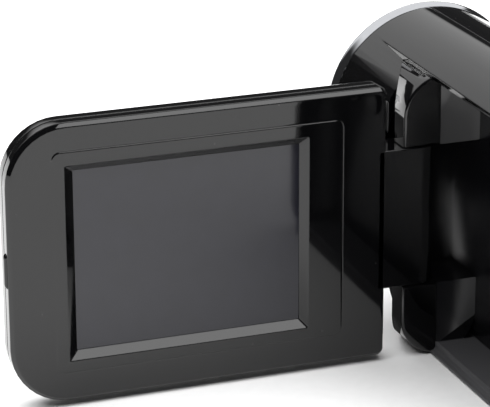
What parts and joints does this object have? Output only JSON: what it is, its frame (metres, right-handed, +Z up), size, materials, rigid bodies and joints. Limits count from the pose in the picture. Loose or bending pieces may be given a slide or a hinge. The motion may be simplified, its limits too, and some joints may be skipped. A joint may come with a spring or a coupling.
{
  "type": "camcorder",
  "caption": "Palm-size camcorder with a round lens barrel, bright lens ring and a side screen that swings out on an upright hinge.",
  "frame": {"origin": "mouth of the tripod socket, on the flat base", "axes": "+Z up, +Y towards the operator (the lens looks along -Y), +X the operator's left, the side the screen opens to"},
  "size_m": [0.109, 0.1111, 0.0571],
  "materials": {
    "gloss_black_abs": "high gloss",
    "pocket_abs": "gloss",
    "key_abs": "satin gloss",
    "chrome_ring": "mirror",
    "lens_glass": "coated",
    "screen_glass": "clear gloss over a dark display",
    "black_matte": "matt",
    "board_green": "solder mask",
    "chip_epoxy": "matt",
    "steel_pins": "ground",
    "spring_steel": "bright",
    "plated_steel": "nickel plated",
    "brass_insert": "turned",
    "battery_wrap": "printed film",
    "contact_gold": "gold plated",
    "card_abs": "moulded",
    "clear_lens": "clear",
    "polyimide": "film",
    "magnet_nickel": "nickel plated",
    "silicon_glass": "polished"
  },
  "bodies": {
    "camera": {"av_jack": "black_matte", "battery": "battery_wrap", "battery_contacts": "contact_gold", "board_chips": "chip_epoxy", "card_socket": "plated_steel", "case_screws": "plated_steel", "control_plate": "key_abs", "focus_group": "lens_glass", "friction_sleeve_lower": "spring_steel", "friction_sleeve_upper": "spring_steel", "front_bezel": "black_matte", "hinge_cover": "gloss_black_abs", "image_sensor": "silicon_glass", "ir_filter": "silicon_glass", "lamp": "clear_lens", "left_shell": "gloss_black_abs", "lens_barrel": "black_matte", "lens_ring": "chrome_ring", "lens_window": "lens_glass", "main_board": "board_green", "microphone": "plated_steel", "photo_board": "board_green", "photo_switch": "plated_steel", "pocket_tray": "pocket_abs", "rear_key_board": "board_green", "rear_lens": "lens_glass", "rear_switches": "plated_steel", "right_shell": "gloss_black_abs", "sensor_board": "board_green", "side_key_board": "board_green", "side_switches": "plated_steel", "speaker": "black_matte", "status_lens": "clear_lens", "strap_bar": "plated_steel", "tripod_insert": "brass_insert", "usb_port": "plated_steel"},
    "screen": {"screen_frame": "gloss_black_abs", "screen_cover": "gloss_black_abs", "lcd_glass": "screen_glass", "lcd_module": "plated_steel", "lcd_board": "board_green", "screen_flex": "polyimide", "lid_magnet": "magnet_nickel", "hinge_pin_upper": "steel_pins", "hinge_pin_lower": "steel_pins"},
    "record_key": {"record_button": "key_abs"},
    "zoom_key": {"zoom_rocker": "key_abs"},
    "mode_key": {"mode_button": "key_abs"},
    "power_key": {"power_button": "key_abs"},
    "photo_key": {"photo_button": "key_abs"},
    "menu_key": {"menu_button": "key_abs"},
    "play_key": {"play_button": "key_abs"},
    "delete_key": {"delete_button": "key_abs"},
    "battery_lid": {"battery_door": "gloss_black_abs"},
    "port_lid": {"port_door": "gloss_black_abs"},
    "card": {"memory_card": "card_abs"}
  },
  "joints": [
    {"name": "screen_hinge", "type": "hinge", "parent": "camera", "child": "screen", "pos_m": [0.0184, -0.0174, 0.0266], "axis": [0, 0, 1], "range_deg": [0, 90]},
    {"name": "record_press", "type": "slide", "parent": "camera", "child": "record_key", "axis": [0, -1, 0], "range_m": [0, 0.0005], "stiffness_N_per_m": 500, "springref_m": -0.0003},
    {"name": "zoom_rock", "type": "hinge", "parent": "camera", "child": "zoom_key", "pos_m": [-0.0014, 0.0565, 0.0388], "axis": [0, 0, 1], "range_deg": [-3, 3], "stiffness_Nm_per_rad": 0.02},
    {"name": "mode_press", "type": "slide", "parent": "camera", "child": "mode_key", "axis": [0, -1, 0], "range_m": [0, 0.0005], "stiffness_N_per_m": 500, "springref_m": -0.0003},
    {"name": "power_press", "type": "slide", "parent": "camera", "child": "power_key", "axis": [0, -1, 0], "range_m": [0, 0.0005], "stiffness_N_per_m": 500, "springref_m": -0.0003},
    {"name": "photo_press", "type": "slide", "parent": "camera", "child": "photo_key", "axis": [0.342, 0, -0.9397], "range_m": [0, 0.0004], "stiffness_N_per_m": 500, "springref_m": -0.0003},
    {"name": "menu_press", "type": "slide", "parent": "camera", "child": "menu_key", "axis": [-1, 0, 0], "range_m": [0, 0.0003], "stiffness_N_per_m": 500, "springref_m": -0.0003},
    {"name": "play_press", "type": "slide", "parent": "camera", "child": "play_key", "axis": [-1, 0, 0], "range_m": [0, 0.0003], "stiffness_N_per_m": 500, "springref_m": -0.0003},
    {"name": "delete_press", "type": "slide", "parent": "camera", "child": "delete_key", "axis": [-1, 0, 0], "range_m": [0, 0.0003], "stiffness_N_per_m": 500, "springref_m": -0.0003},
    {"name": "battery_door_hinge", "type": "hinge", "parent": "camera", "child": "battery_lid", "pos_m": [-0.0062, 0.01, 0.0009], "axis": [-1, 0, 0], "range_deg": [0, 90]},
    {"name": "port_door_hinge", "type": "hinge", "parent": "camera", "child": "port_lid", "pos_m": [-0.01395, 0.04712, 0.024], "axis": [0, 0, 1], "range_deg": [0, 100]},
    {"name": "card_slide", "type": "slide", "parent": "camera", "child": "card", "axis": [0, 0, -1], "range_m": [0, 0.003]}
  ]
}
